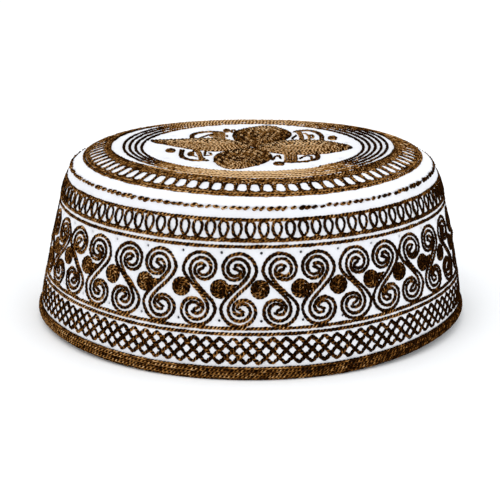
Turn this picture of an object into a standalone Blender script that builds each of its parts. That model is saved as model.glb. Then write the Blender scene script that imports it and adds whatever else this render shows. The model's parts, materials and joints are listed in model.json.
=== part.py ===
"""A round prayer cap in three sewn pieces: a flat crown, a flared side and a braid folded round the rim.

The cap stands on its rim with the crown up. The origin is the centre of the rim, on the surface that the cap
rests on. The front, where angles start, faces -Y, and an angle grows towards +X. Sizes are in metres.
"""

import math
from collections import namedtuple

import bmesh
import bpy
import numpy as np
from mathutils import Matrix, Vector

MM = 0.001

# The cloth and the seams
CLOTH = 1.6 * MM
SEAM_GAP = 0.3 * MM
SEGMENTS = 80

# The outer face of the cloth, from its lower edge up over the seam to the middle of the crown
Station = namedtuple("Station", "name radius height")
CLOTH_FACE = (
    Station("edge_inside_braid", 93.70 * MM, 1.6 * MM),
    Station("top_of_braid", 93.70 * MM, 5.2 * MM),
    Station("under_lattice", 92.00 * MM, 18.4 * MM),
    Station("under_scrolls", 91.40 * MM, 21.0 * MM),
    Station("mid_scrolls", 88.50 * MM, 36.6 * MM),
    Station("over_scrolls", 84.90 * MM, 52.5 * MM),
    Station("under_loops", 84.40 * MM, 55.2 * MM),
    Station("over_loops", 81.50 * MM, 63.8 * MM),
    Station("seam", 79.60 * MM, 67.5 * MM),
    Station("outer_ring", 74.80 * MM, 70.7 * MM),
    Station("mid_loops", 69.00 * MM, 73.0 * MM),
    Station("inner_ring", 62.75 * MM, 74.7 * MM),
    Station("mid_lines", 56.00 * MM, 74.8 * MM),
    Station("field_edge", 48.50 * MM, 74.15 * MM),
    Station("mid_field", 24.00 * MM, 73.3 * MM),
    Station("middle", 0.00 * MM, 73.0 * MM),
)
SIDE_ROWS = (
    "over_loops", "over_scrolls", "mid_scrolls", "under_scrolls", "top_of_braid", "edge_inside_braid"
)
CROWN_ROWS = (
    "middle", "mid_field", "field_edge", "mid_lines", "inner_ring", "mid_loops", "outer_ring"
)

# The braid is a channel that the lower edge of the side sits in
BRAID_HEIGHT = 5.2 * MM
BRAID_WALL = 0.8 * MM
BRAID_BULGE = 0.3 * MM
BRAID_CORNER = 0.7 * MM
BRAID_LIP = 0.4 * MM

# The eyelets are pin holes: one row over the scrolls and one under them, and a few on the crown's white field
EYELET_RADIUS = 0.6 * MM
EYELET_SIDES = 6
EYELET_CUTTER = 8.0 * MM
SIDE_EYELETS = 34
SIDE_EYELET_ANGLE = 2.35
SIDE_EYELET_HEIGHTS = (49.9 * MM, 23.5 * MM)
CROWN_EYELET_RADIUS = 43.0 * MM
CROWN_EYELET_ANGLES = (-152.0, -123.0, -59.0, -33.0, 35.0, 61.0, 103.0, 128.0)

# How the soft cap stands: the crown leans, the rim lifts at both sides, the shoulder sags in two places
Dent = namedtuple("Dent", "name angle half_width depth")
LEAN = 0.8 * MM
LEAN_HEIGHT = 16.0 * MM
RIM_LIFTS = (
    Dent("left_side", -68.0, 55.0, 2.0 * MM),
    Dent("right_side", 68.0, 55.0, 3.0 * MM),
)
LIFT_FADE_HEIGHT = 52.6 * MM
SHOULDER_SAGS = (
    Dent("front_right", 22.0, 55.0, 0.8 * MM),
    Dent("back", 180.0, 80.0, 1.9 * MM),
)
SAG_INNER_RADIUS = 50.0 * MM
SAG_OUTER_RADIUS = 64.0 * MM
SAG_FOOT_HEIGHT = 58.0 * MM
SAG_FULL_HEIGHT = 67.0 * MM


def smoothstep(low, high, value):
    """0 below low, 1 above high, and a smooth S between."""
    t = np.clip((value - low) / (high - low), 0.0, 1.0)
    return t * t * (3.0 - 2.0 * t)


def bump(dent, degrees):
    """The depth of a dent at an angle: a raised cosine that is exactly zero past its half width."""
    away = np.abs((degrees - dent.angle + 180.0) % 360.0 - 180.0) / dent.half_width
    return dent.depth * np.where(away < 1.0, np.cos(np.pi / 2.0 * np.minimum(away, 1.0)) ** 2, 0.0)


def settled(points):
    """Moves points of the plain turned cap to where they lie on the soft cap."""
    x, y, z = points.T
    degrees = np.degrees(np.arctan2(x, -y))
    radius = np.hypot(x, y)
    lift = sum(bump(dent, degrees) for dent in RIM_LIFTS)
    lift = lift * np.clip(1.0 - z / LIFT_FADE_HEIGHT, 0.0, 1.0)
    sag = sum(bump(dent, degrees) for dent in SHOULDER_SAGS)
    sag = sag * smoothstep(SAG_INNER_RADIUS, SAG_OUTER_RADIUS, radius)
    sag = sag * smoothstep(SAG_FOOT_HEIGHT, SAG_FULL_HEIGHT, z)
    lean = LEAN * (1.0 - np.exp(-np.maximum(z - BRAID_HEIGHT, 0.0) / LEAN_HEIGHT))
    return np.column_stack((x + lean, y, z + lift - sag))


def runs_of_stations():
    """The length along the cloth's outer face from its lower edge to each station."""
    corners = np.array([(s.radius, s.height) for s in CLOTH_FACE])
    steps = np.hypot(*np.diff(corners, axis=0).T)
    return np.concatenate(([0.0], np.cumsum(steps)))


def run_at(name):
    """The length along the cloth's outer face at a named station."""
    names = [s.name for s in CLOTH_FACE]
    return runs_of_stations()[names.index(name)]


def smooth_row(values, at):
    """A smooth curve through one value per station: cubics whose slopes agree where they meet."""
    runs = runs_of_stations()
    slopes = np.gradient(values, runs)
    k = np.clip(np.searchsorted(runs, at, side="right") - 1, 0, len(runs) - 2)
    width = runs[k + 1] - runs[k]
    t = (at - runs[k]) / width
    start = (1.0 + 2.0 * t) * (1.0 - t) ** 2 * values[k] + t * (1.0 - t) ** 2 * width * slopes[k]
    end = t * t * (3.0 - 2.0 * t) * values[k + 1] + t * t * (t - 1.0) * width * slopes[k + 1]
    return start + end


def face_points(at, depth):
    """Points (radius, height) at lengths along the face, sunk into the cloth by a depth."""
    radii = np.array([s.radius for s in CLOTH_FACE])
    heights = np.array([s.height for s in CLOTH_FACE])
    nudge = 0.05 * MM
    ahead = np.column_stack((smooth_row(radii, at + nudge), smooth_row(heights, at + nudge)))
    behind = np.column_stack((smooth_row(radii, at - nudge), smooth_row(heights, at - nudge)))
    along = ahead - behind
    along /= np.linalg.norm(along, axis=1, keepdims=True)
    outward = np.column_stack((along[:, 1], -along[:, 0]))
    points = np.column_stack((smooth_row(radii, at), smooth_row(heights, at)))
    return points - depth * outward, outward


def material(name, color, roughness):
    """A plain cloth material."""
    made = bpy.data.materials.new(name)
    made.use_nodes = True
    shader = made.node_tree.nodes["Principled BSDF"]
    shader.inputs["Base Color"].default_value = (*color, 1.0)
    shader.inputs["Roughness"].default_value = roughness
    shader.inputs["Metallic"].default_value = 0.0
    return made


def collection(name):
    """A new collection in the scene."""
    made = bpy.data.collections.new(name)
    bpy.context.scene.collection.children.link(made)
    return made


def turned(name, section, closed, home):
    """Turns a section (radius, height) once round Z with a Screw modifier and settles the result."""
    outline = bpy.data.meshes.new(name)
    count = len(section)
    edges = [(i, i + 1) for i in range(count - 1)]
    if closed:
        edges.append((count - 1, 0))
    outline.from_pydata([(r, 0.0, z) for r, z in section], edges, [])
    line = bpy.data.objects.new(name + "_section", outline)
    home.objects.link(line)
    screw = line.modifiers.new("Turn", "SCREW")
    screw.axis = "Z"
    screw.angle = math.radians(360.0)
    screw.steps = SEGMENTS
    screw.render_steps = SEGMENTS
    screw.use_merge_vertices = True
    screw.merge_threshold = 0.00001
    depsgraph = bpy.context.evaluated_depsgraph_get()
    mesh = bpy.data.meshes.new_from_object(line.evaluated_get(depsgraph))
    bpy.data.objects.remove(line)

    points = np.array([v.co[:] for v in mesh.vertices])
    mesh.vertices.foreach_set("co", settled(points).ravel())
    mesh.name = name
    piece = bpy.data.objects.new(name, mesh)
    home.objects.link(piece)
    return piece


def finish(piece, look):
    """Sets the material and smooth shading with sharp seams."""
    piece.data.materials.clear()
    piece.data.materials.append(look)
    piece.data.shade_smooth()
    piece.data.set_sharp_from_angle(angle=math.radians(40.0))


def crown_panel(home, look, cutters):
    """The top: a disc that is turned down at its edge, as thick as the cloth, that ends at the seam."""
    at = np.array([*map(run_at, CROWN_ROWS), run_at("seam") + SEAM_GAP / 2.0])
    outer, _ = face_points(at, 0.0)
    inner, _ = face_points(at, CLOTH)
    outer[0, 0] = 0.0
    inner[0, 0] = 0.0
    piece = turned("crown_panel", [*outer, *inner[::-1]], False, home)
    run = runs_of_stations()[-1] - CROWN_EYELET_RADIUS
    pierce(piece, [(run, degrees) for degrees in CROWN_EYELET_ANGLES], cutters)
    finish(piece, look)
    return piece


def side_band(home, look, cutters):
    """The flared side, from inside the braid up to the seam, with its eyelets cut through."""
    at = np.array([run_at("seam") - SEAM_GAP / 2.0, *map(run_at, SIDE_ROWS)])
    outer, _ = face_points(at, 0.0)
    inner, _ = face_points(at, CLOTH)
    piece = turned("side_band", [*outer, *inner[::-1]], True, home)
    runs = np.interp(SIDE_EYELET_HEIGHTS, [s.height for s in CLOTH_FACE], runs_of_stations())
    turns = [SIDE_EYELET_ANGLE + 360.0 * number / SIDE_EYELETS for number in range(SIDE_EYELETS)]
    pierce(piece, [(run, degrees) for run in runs for degrees in turns], cutters)
    finish(piece, look)
    return piece


def pierce(piece, places, home):
    """Cuts a pin hole square through the cloth at each place (length along the face, angle)."""
    shape = bmesh.new()
    for run, degrees in places:
        middle, outward = face_points(np.array([run]), CLOTH / 2.0)
        radius, height = middle[0]
        turn = math.radians(degrees)
        flat = np.array([[radius * math.sin(turn), -radius * math.cos(turn), height]])
        axis = Vector((outward[0, 0] * math.sin(turn), -outward[0, 0] * math.cos(turn), outward[0, 1]))
        spin = axis.to_track_quat("Z", "Y").to_matrix().to_4x4()
        bmesh.ops.create_cone(
            shape,
            cap_ends=True,
            segments=EYELET_SIDES,
            radius1=EYELET_RADIUS,
            radius2=EYELET_RADIUS,
            depth=EYELET_CUTTER,
            matrix=Matrix.Translation(Vector(settled(flat)[0])) @ spin,
        )
    name = piece.name + "_eyelet_pins"
    mesh = bpy.data.meshes.new(name)
    shape.to_mesh(mesh)
    shape.free()
    cutter = bpy.data.objects.new(name, mesh)
    cutter.hide_render = True
    cutter.display_type = "WIRE"
    home.objects.link(cutter)
    cut = piece.modifiers.new("Eyelets", "BOOLEAN")
    cut.operation = "DIFFERENCE"
    cut.solver = "EXACT"
    cut.object = cutter


def rim_braid(home, look):
    """The braid: a channel section, closed below, whose two legs hold the lower edge of the side."""
    edge = CLOTH_FACE[0]
    slot_outer = edge.radius + SEAM_GAP
    slot_inner = edge.radius - CLOTH - SEAM_GAP
    slot_floor = edge.height - SEAM_GAP
    outer = slot_outer + BRAID_WALL
    inner = slot_inner - BRAID_WALL
    shoulder = BRAID_HEIGHT - BRAID_LIP
    # The section runs down the outer side, along the foot, up the inner side and down into the slot
    section = [
        (slot_outer + BRAID_LIP, BRAID_HEIGHT),
        (outer, shoulder),
        (outer + BRAID_BULGE, BRAID_HEIGHT / 2.0),
        (outer, BRAID_CORNER),
        (outer - BRAID_CORNER, 0.0),
        (inner + BRAID_CORNER, 0.0),
        (inner, BRAID_CORNER),
        (inner, shoulder),
        (slot_inner - BRAID_LIP, BRAID_HEIGHT),
        (slot_inner, shoulder),
        (slot_inner, slot_floor),
        (slot_outer, slot_floor),
        (slot_outer, shoulder),
    ]
    piece = turned("rim_braid", section, True, home)
    finish(piece, look)
    return piece


def main():
    """Builds the cap in an empty scene."""
    for old in list(bpy.data.objects):
        bpy.data.objects.remove(old)
    cap = collection("prayer_cap")
    cutters = collection("cutters")
    crown_panel(cap, material("crown_cotton", (0.86, 0.86, 0.88), 0.85), cutters)
    side_band(cap, material("side_cotton", (0.86, 0.86, 0.88), 0.85), cutters)
    rim_braid(cap, material("rim_thread", (0.13, 0.07, 0.03), 0.6))


main()
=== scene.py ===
"""The looks of a white cotton prayer cap that is worked all over in brown chain stitch.

The cap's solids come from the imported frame. Here they are replaced by fine cloth and by the embroidery that
lies on it, stitch by stitch. A place on the side is (degrees from the front, millimetres below the crown
seam), and a place on the crown is (x, y) in millimetres on the flat pattern. Both may have a third number,
the lift of the thread in millimetres, and a fourth, how much lighter it is. Angles grow from the front, which
faces -Y, towards +X. Meshes are in metres.
"""

import json
import math
from collections import namedtuple

import bpy
import numpy as np
from mathutils import Matrix, Vector

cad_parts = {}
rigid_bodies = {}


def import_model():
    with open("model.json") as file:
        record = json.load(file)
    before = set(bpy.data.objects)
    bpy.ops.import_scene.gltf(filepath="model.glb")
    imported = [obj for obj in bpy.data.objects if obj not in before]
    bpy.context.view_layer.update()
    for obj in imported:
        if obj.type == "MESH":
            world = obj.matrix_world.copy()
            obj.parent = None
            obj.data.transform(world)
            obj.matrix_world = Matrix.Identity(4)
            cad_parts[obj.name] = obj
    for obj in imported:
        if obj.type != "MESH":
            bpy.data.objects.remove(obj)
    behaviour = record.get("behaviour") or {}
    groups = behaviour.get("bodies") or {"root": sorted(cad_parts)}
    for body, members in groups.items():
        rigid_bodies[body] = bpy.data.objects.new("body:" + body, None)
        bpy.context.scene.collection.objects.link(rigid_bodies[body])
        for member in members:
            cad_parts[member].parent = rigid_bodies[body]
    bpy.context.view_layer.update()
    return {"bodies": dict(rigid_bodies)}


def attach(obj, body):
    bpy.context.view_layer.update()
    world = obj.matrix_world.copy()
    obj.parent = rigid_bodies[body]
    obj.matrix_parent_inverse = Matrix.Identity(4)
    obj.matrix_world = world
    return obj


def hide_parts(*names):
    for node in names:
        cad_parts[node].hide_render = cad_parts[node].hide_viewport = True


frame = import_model()

bl_info = {
    "name": "Prayer cap",
    "version": (1, 0, 0),
    "blender": (4, 5, 0),
    "location": "View3D > Sidebar > Prayer cap",
    "description": "Dresses the solids of a prayer cap in cotton and chain stitch",
    "category": "Object",
}

MM = 0.001
BODY = next(iter(frame["bodies"]))

# Where each piece's small differences start, so that every run gives the same ones
SEEDS = {
    "side_cloth": 3, "crown_cloth": 5, "patches": 7, "hem_rows": 11, "side_rings": 21, "side_loops": 22,
    "seam_stitches": 23, "seam_places": 24, "side_scrolls": 31, "side_balls": 32, "side_lattice": 41,
    "crown_loops": 51, "crown_lines": 52, "crown_petals": 61, "crown_curls": 62,
}

# How many points draw each kind of line, or one loop or one hole of it
RING_POINTS = 1441
LINE_POINTS = 400
WINDING_POINTS = 1800
RIM_POINTS = 240
SPIRAL_POINTS = 100
SLANT_POINTS = 60
BALL_POINTS = 200
BUD_POINTS = 73
SHORT_POINTS = 8
LOOP_POINTS = 60
LATTICE_POINTS = 24

# The outer face of the cloth in the solids, from its lower edge over the seam to the middle of the crown
Station = namedtuple("Station", "name radius height")
CLOTH_FACE = (
    Station("edge_inside_braid", 93.70, 1.6),
    Station("top_of_braid", 93.70, 5.2),
    Station("under_lattice", 92.00, 18.4),
    Station("under_scrolls", 91.40, 21.0),
    Station("mid_scrolls", 88.50, 36.6),
    Station("over_scrolls", 84.90, 52.5),
    Station("under_loops", 84.40, 55.2),
    Station("over_loops", 81.50, 63.8),
    Station("seam", 79.60, 67.5),
    Station("outer_ring", 74.80, 70.7),
    Station("mid_loops", 69.00, 73.0),
    Station("inner_ring", 62.75, 74.7),
    Station("mid_lines", 56.00, 74.8),
    Station("field_edge", 48.50, 74.15),
    Station("mid_field", 24.00, 73.3),
    Station("middle", 0.00, 73.0),
)

# How the soft cap stands: the crown leans, the rim lifts at both sides, the shoulder sags in two places
Dent = namedtuple("Dent", "name angle half_width depth")
LEAN = 0.8
LEAN_FOOT = 5.2
LEAN_HEIGHT = 16.0
RIM_LIFTS = (Dent("left_side", -68.0, 55.0, 2.0), Dent("right_side", 68.0, 55.0, 3.0))
LIFT_FADE_HEIGHT = 52.6
SHOULDER_SAGS = (Dent("front_right", 22.0, 55.0, 0.8), Dent("back", 180.0, 80.0, 1.9))
SAG_RADII = (50.0, 64.0)
SAG_HEIGHTS = (58.0, 67.0)

# The cloth's grid. An eyelet sits on every twelfth column of the side
SIDE_MEAN_RADIUS = 88.0
SIDE_COLUMNS = 408
CROWN_COLUMNS = 204
SIDE_STEP = 1.35
CROWN_STEP = 1.6
SIDE_FOOT = 0.4
CLOTH_SUNK = 0.25
SEAM_GAP = 0.3
EYELET_RADIUS = 0.6
EYELET_ANGLE = 2.35
SIDE_EYELETS = 34
SIDE_EYELET_HEIGHTS = (23.5, 49.9)
CROWN_EYELET_RADIUS = 43.0
CROWN_EYELET_ANGLES = (-152.0, -123.0, -59.0, -33.0, 35.0, 61.0, 103.0, 128.0)

# The rows and columns from an eyelet's grid point to the eight points round it
AROUND = np.array(((0, 1), (1, 1), (1, 0), (1, -1), (0, -1), (-1, -1), (-1, 0), (-1, 1)))

# The cloth's unevenness: how many waves it adds up, how often one goes round the cap, its length in mm up the
# face, the last stretch before the crown's middle, where it fades out, and its share on the inner face
RIPPLE_WAVES = 12
RIPPLE_TURNS = (12, 90)
RIPPLE_LENGTHS = (7.0, 24.0)
RIPPLE_FADE = 25.0
INNER_RIPPLE = 0.5

# The patches of light and dark thread: how many waves they add up, and a wave's radians a millimetre each way
PATCH_WAVES = 6
PATCH_ACROSS = (1.8, 3.4)
PATCH_BACK = (-1.3, 1.3)
ANY_PHASE = (0.0, 6.3)

# The folded rim: a rounded section that the rows of thread go round
RIM_MIDDLE = (93.05, 2.75)
RIM_HALF = (1.75, 2.40)
RIM_SQUARENESS = 2.8
RIM_COLUMNS = 204
RIM_CORNERS = 24
RIM_GIRTH = 15.0

# How a row is sewn: its thickness, how much lighter it is, and its height against its thickness. Rows that
# fill a form are thinner, and lie a pitch apart
Sewn = namedtuple("Sewn", "scale tone tall", defaults=(1.0, 0.0, 1.0))
FILL = Sewn(scale=0.82)
ROW_PITCH = 1.15

# The hem's rows: how many, the shares of the way round the rim's section that they keep to, their two tones
HEM_ROWS = 11
HEM_SHARES = (0.075, 0.925)
HEM_TONES = (-0.08, 0.02)

# The side's rings of chain stitch, in millimetres below the seam
Ring = namedtuple("Ring", "name at")
SIDE_RINGS = (
    Ring("over_loops", 5.3),
    Ring("under_loops", 13.8),
    Ring("between", 16.2),
    Ring("under_scrolls", 48.6),
    Ring("over_lattice", 50.8),
    Ring("over_hem", 65.0),
)
SIDE_RING_ROW = Sewn(scale=0.98, tone=-0.03)

# A row of loops: how many, where it starts, its middle line, half its height, and the three swings of one
# loop. The middle line is a drop below the seam on the side, and a radius on the crown
Loops = namedtuple("Loops", "count start middle half_height swing second_swing third_swing")
SIDE_LOOPS = Loops(99, -0.6, 9.75, 3.80, 2.95, 0.0, 0.0)
SIDE_LOOP_ROW = Sewn(scale=0.84, tone=-0.06)
CROWN_LOOPS = Loops(85, 0.7, 69.4, 3.32, 4.02, -0.60, 0.40)
CROWN_LOOP_ROW = Sewn(scale=0.77, tone=0.02)
LOOP_LIFT = 0.13

# The seam's slanted stitches. A pair is a mean and a spread: where one stands, its thickness, how far it
# slants in degrees, and the drops of its two ends. They swell and thin out in waves, and are lighter in front
# and behind
SEAM_STITCHES = 164
SEAM_PLACE = (0.0, 0.20)
SEAM_SCALE = (1.28, 0.08)
SEAM_SLANT = (1.35, 0.20)
SEAM_TOP = (0.10, 0.16)
SEAM_FOOT = (0.62, 0.18)
SEAM_SWELL = 0.16
SEAM_SWELLS = 7.0
SEAM_SWELL_START = 20.0
SEAM_TONE = 0.16
SEAM_SIDES = (0.1, 0.8)

# The scrolls stand midway between eyelets, every second one mirrored. Each has two spirals of two rows
SCROLL_ROW = Sewn(tone=-0.07)
SCROLL_MIDDLE = 33.3
SPIRAL_OFF = (0.55, 7.95)
SPIRAL_UNIT = (0.632, 0.99)
SCROLL_SWAY = 16.0
Quarter = namedtuple("Quarter", "turn outer inner")
SPIRAL = (
    Quarter(0.0, 8.0, 5.1),
    Quarter(1.0, 6.5, 4.4),
    Quarter(2.0, 5.8, 3.7),
    Quarter(3.0, 3.9, 2.3),
    Quarter(4.0, 2.9, 1.5),
    Quarter(5.0, 1.9, 1.5),
    Quarter(5.6, 1.6, 1.5),
)
INNER_TURNS = 3.7

# The two rows of a slant are drawn together on one kind of scroll, and each hand-guided scroll has its own
# lean: how many degrees its upper spiral, its lower one and the ball before it are off their even places
SLANT_SQUEEZE = (0.36, -0.10)
Nudge = namedtuple("Nudge", "number top bottom ball")
NUDGES = (
    Nudge(-6, -0.5, 0.1, 0.3),
    Nudge(-5, -0.75, 0.2, 0.2),
    Nudge(-4, -0.3, -0.1, 0.15),
    Nudge(-3, -0.9, -0.3, 0.3),
    Nudge(-2, -0.3, -0.4, 0.2),
    Nudge(-1, -0.55, -0.45, -0.15),
    Nudge(0, -0.4, -0.45, -0.35),
    Nudge(1, -0.8, -0.9, -0.5),
    Nudge(2, -0.7, -1.2, -0.7),
    Nudge(3, -1.2, -2.0, -1.5),
    Nudge(4, -1.9, -2.5, -2.1),
    Nudge(5, -2.0, -2.6, -2.3),
    Nudge(6, -1.6, -2.0, -1.9),
    Nudge(7, -1.0, -1.2, -1.3),
    Nudge(8, -0.5, -0.6, -0.8),
    Nudge(9, -0.2, -0.2, -0.3),
)

# The balls, padded like domes, with a short row across the top of each
BALL_MIDDLE = 33.0
BALL_RADIUS = 3.3
BALL_PAD = 0.35
BALL_LAST_TURN = 0.88
BALL_TOP_REACH = 0.7
BALL_TOP_LIFT = 0.45

# Short rows that join every second ball to the slant on its right: their drop and reach, and where they start
STEMS = ((31.7, 6.9), (32.7, 6.0), (33.6, 5.0))
STEM_START = 2.9

LATTICE_ROW = Sewn(scale=1.09, tone=-0.12, tall=0.55)
LATTICE_HOLES = 110
LATTICE_DROPS = (52.1, 62.9)
LATTICE_ANGLE = 2.0
LATTICE_TIPS = 0.985
LATTICE_LIFT = 0.08

# The crown's border is drawn inward at both sides: all of it at the middle radius, nothing at the outer two
BORDER_DRAWN = 1.6
BORDER_DRAWN_RADII = (62.7, 66.1, 72.8)
CROWN_RINGS = (
    Ring("innermost", 62.7),
    Ring("second", 64.1),
    Ring("inside_loops", 65.5),
    Ring("under_loops", 72.8),
    Ring("outside_loops", 74.1),
)
CROWN_RING_ROW = Sewn(scale=0.94, tone=0.05)
BORDER_LEVEL_LIGHT = 0.16

# The crown's long line that winds outwards, and the two short ones beside it
LINES_ROW = Sewn(scale=0.87, tone=0.03, tall=1.3)
LINES_LEVEL_LIGHT = 1.30
LINES_PATCHY = 0.08
LINES_RADIUS = 48.8
LINES_STEP = 2.6
LINES_ANGLES = (35.0, 1610.0)
Arc = namedtuple("Arc", "name start end radius flare")
LINE_ARCS = (Arc("front", -78.0, 80.0, 60.3, 2.0), Arc("back", 105.0, 262.0, 60.6, 1.8))
ARC_FLARE_FROM = 0.35

# Half the width of a petal along its length
PETAL_OUTLINE = (
    (1.2, 0.7), (4.0, 4.0), (8.0, 7.8), (12.0, 10.3), (16.0, 11.9), (20.0, 12.7), (24.0, 12.9),
    (28.0, 12.6), (32.0, 11.5), (36.0, 9.4), (40.0, 6.4), (43.0, 3.4), (45.0, 0.0),
)
PETAL_PITCH = 1.6
PETAL_TALL = 1.3
PETAL_PAD = 0.5
PETAL_PAD_WIDTH = 6.0
SPINE_LIFT = 0.42

# Where a petal narrows to its tip, in millimetres, and where its tip changes tone, in shares of its length
PETAL_TAPER = (10.0, 40.0)
PETAL_TIP = (0.60, 0.95)

# Rows that are too narrow, or too short, to be sewn
ROW_NARROWEST = 0.12
SPINE_NARROWEST = 0.75
FEWEST_POINTS = 12

# A petal's direction, its length, how plump it and its tip are against the outline, how far it bends aside,
# and how much lighter its thread is: all of it, at the edge and at the tip, with how patchy it is. The whole
# petal's tone is partly painted sheen, lighter on the left and right petals, whose rows run across
Petal = namedtuple("Petal", "name angle length plump tip bend tone edge_tone tip_tone patchy")
PETALS = (
    Petal("front", -11.2, 46.5, 1.04, 0.80, 0.0, 0.17, -0.22, 0.34, 0.40),
    Petal("right", 85.6, 44.4, 1.16, 0.94, 0.9, 0.34, -0.08, -0.26, 0.46),
    Petal("back", 170.2, 43.2, 0.93, 1.24, 0.0, 0.13, -0.24, 0.10, 0.34),
    Petal("left", -101.0, 47.0, 1.11, 0.50, -0.9, 0.38, -0.08, -0.30, 0.46),
)

# The middle of the petals and curls on the crown
MEDALLION_PLACE = (0.0, 1.8)

# Lines of stitches between the petals: their rows side by side, how light they are, the points they pass
Curl = namedtuple("Curl", "name rows tone points")
CURLS = (
    Curl("back_left_arch", 2, -0.1, (
        (-26.5, 15), (-27.6, 20), (-27.3, 24), (-25.5, 27.5), (-22, 30), (-17.5, 30.8), (-14, 29.5))),
    Curl("back_left_inner", 1, -0.12, ((-24.5, 14), (-23.2, 19), (-21, 23), (-18.8, 25.8), (-18, 22.5))),
    Curl("back_left_stem", 5, 0.34, ((-15.2, 11), (-15.2, 18), (-15.3, 24), (-15.5, 29.5))),
    Curl("back_left_spur", 1, -0.15, ((-11.6, 20.5), (-11.7, 24.5))),
    Curl("back_right_arch", 2, -0.08, (
        (19, 30.2), (21.5, 32.3), (25, 33), (28.2, 31), (30.3, 27), (31.3, 22), (31.2, 16), (31, 12))),
    Curl("back_right_stem", 2, 0.2, ((21, 31), (21.8, 27), (22.2, 22), (22.2, 17), (22, 11))),
    Curl("back_right_spur", 1, -0.12, ((20.2, 24), (19, 21), (18.2, 18.5), (18, 16))),
    Curl("back_right_inner", 1, 0.18, ((23.6, 28), (25, 25), (25.6, 22), (25.6, 18), (25.4, 12))),
    Curl("front_left_arch", 2, -0.12, (
        (-30.8, -6), (-30.9, -12), (-30.8, -17), (-29.8, -22), (-27.2, -26), (-23, -28), (-18.8, -27))),
    Curl("front_left_stem", 2, 0.2, ((-24.4, -6), (-23.4, -12), (-22.6, -18), (-22, -24), (-22, -27.5))),
    Curl("front_left_leaf", 1, 0.0, ((-24.3, -20), (-26, -17.5), (-26.8, -14), (-26, -10), (-25.6, -6))),
    Curl("front_left_loop", 1, 0.02, (
        (-20.6, -8), (-20.7, -13), (-20, -17.5), (-18.6, -16.8), (-18.1, -13.5), (-18.8, -11))),
    Curl("front_left_spur", 1, 0.0, ((-20.9, -21.5), (-20.6, -26))),
    Curl("front_right_arch", 2, -0.08, (
        (27, -12), (27.8, -16), (28, -20.5), (27.2, -24.5), (24.5, -28), (20, -29.8), (13, -30.2))),
    Curl("front_right_loop", 1, -0.05, (
        (25.4, -27), (25.2, -22), (25, -19), (23.4, -17.8), (21.8, -19.8), (20, -23.5))),
    Curl("front_right_leg", 5, 0.34, ((16.2, -10), (16.4, -16), (16.4, -23), (16.1, -30.3))),
    Curl("front_right_hook", 1, -0.12, (
        (8.4, -26), (9, -22), (10, -18), (11.2, -16.4), (11.8, -19), (11.7, -23))),
)
Bud = namedtuple("Bud", "name x y half_width half_length")
BUDS = (
    Bud("back_left_leaf", -18.4, 24.0, 1.4, 2.6),
    Bud("back_left_bud", -12.0, 33.3, 1.6, 3.3),
    Bud("back_left_twin", -8.9, 32.6, 1.3, 3.0),
    Bud("back_right_leaf", 26.8, 21.2, 1.3, 3.4),
    Bud("back_right_bud", 36.2, 17.3, 2.1, 3.8),
    Bud("front_left_leaf", -26.8, -14.6, 1.4, 3.8),
    Bud("front_left_bud", -35.9, -8.3, 2.1, 3.9),
    Bud("front_right_bud", 11.0, -33.0, 2.3, 3.6),
)
BUD_TONE = 0.04
BUD_FIRST_INSET = 0.45

# The plies that are seen on one stitch of thread, and how much lighter the crown's cotton is painted, as
# light from above
PLIES = 3.0
CROWN_PAINTED_LIGHT = 1.11

# Noise in the materials: cells to a metre, or to a stitch in the flecks of the thread, and finer layers
Noise = namedtuple("Noise", "scale detail")
DRIFT = Noise(900.0, 2.0)
CREASE = Noise(210.0, 3.0)
CLOUD = Noise(60.0, 4.0)
SLUB = Noise(1400.0, 1.0)
FLECK = Noise(1.1, 2.0)
GRAIN = Noise(2500.0, 2.0)
MOTTLE = Noise(3.0, 2.0)

# The camera stands in front, looks slightly down and is shifted by less than a pixel
Camera = namedtuple("Camera", "lens back up down roll shift")
CAMERA = Camera(111.57, 0.6687, 0.2220, 16.317, 0.077, -0.00144)
SENSOR_WIDTH = 36.0
CLIP = (0.05, 30.0)
Lamp = namedtuple("Lamp", "name place size power colour")
LAMPS = (
    Lamp("key", (-0.7, -1.1, 1.7), 1.5, 9.0, (1.0, 0.99, 0.975)),
    Lamp("fill", (1.4, -1.5, 0.9), 1.8, 8.0, (0.96, 0.98, 1.0)),
    Lamp("left", (-1.8, 0.1, 0.45), 1.2, 5.0, (0.98, 0.99, 1.0)),
    Lamp("right", (1.8, 0.1, 0.45), 1.2, 5.0, (0.98, 0.99, 1.0)),
)
LAMP_AIM = (0.0, 0.0, 0.04)
WORLD_COLOUR = (0.96, 0.98, 1.0, 1.0)
WORLD_STRENGTH = 1.07
FLOOR_HALF = 6.0
FLOOR_POINTS = 13


def smoothstep(low, high, value):
    """0 below low, 1 above high, and a smooth S between."""
    t = np.clip((value - low) / (high - low), 0.0, 1.0)
    return t * t * (3.0 - 2.0 * t)


def smooth_through(knots, values, at):
    """A smooth curve through one value per knot: cubics whose slopes agree where they meet."""
    slopes = np.gradient(values, knots, axis=0)
    k = np.clip(np.searchsorted(knots, at, side="right") - 1, 0, len(knots) - 2)
    wide = knots[k + 1] - knots[k]
    t = (at - knots[k]) / wide
    if values.ndim > 1:
        wide, t = wide[:, None], t[:, None]
    start = (1.0 + 2.0 * t) * (1.0 - t) ** 2 * values[k] + t * (1.0 - t) ** 2 * wide * slopes[k]
    end = t * t * (3.0 - 2.0 * t) * values[k + 1] + t * t * (t - 1.0) * wide * slopes[k + 1]
    return start + end


def unit(vectors):
    """Vectors brought to a length of one."""
    return vectors / np.linalg.norm(vectors, axis=1, keepdims=True)


def way_along(points):
    """How far along a line of points each point is."""
    return np.concatenate(([0.0], np.cumsum(np.linalg.norm(np.diff(points, axis=0), axis=1))))


def smooth_line(points, step=0.25):
    """A smooth line through the given points, with a point about every step."""
    points = np.asarray(points, float)
    knots = way_along(points)
    count = max(int(knots[-1] / step), 4)
    return smooth_through(knots, points, np.linspace(0.0, knots[-1], count))


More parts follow.
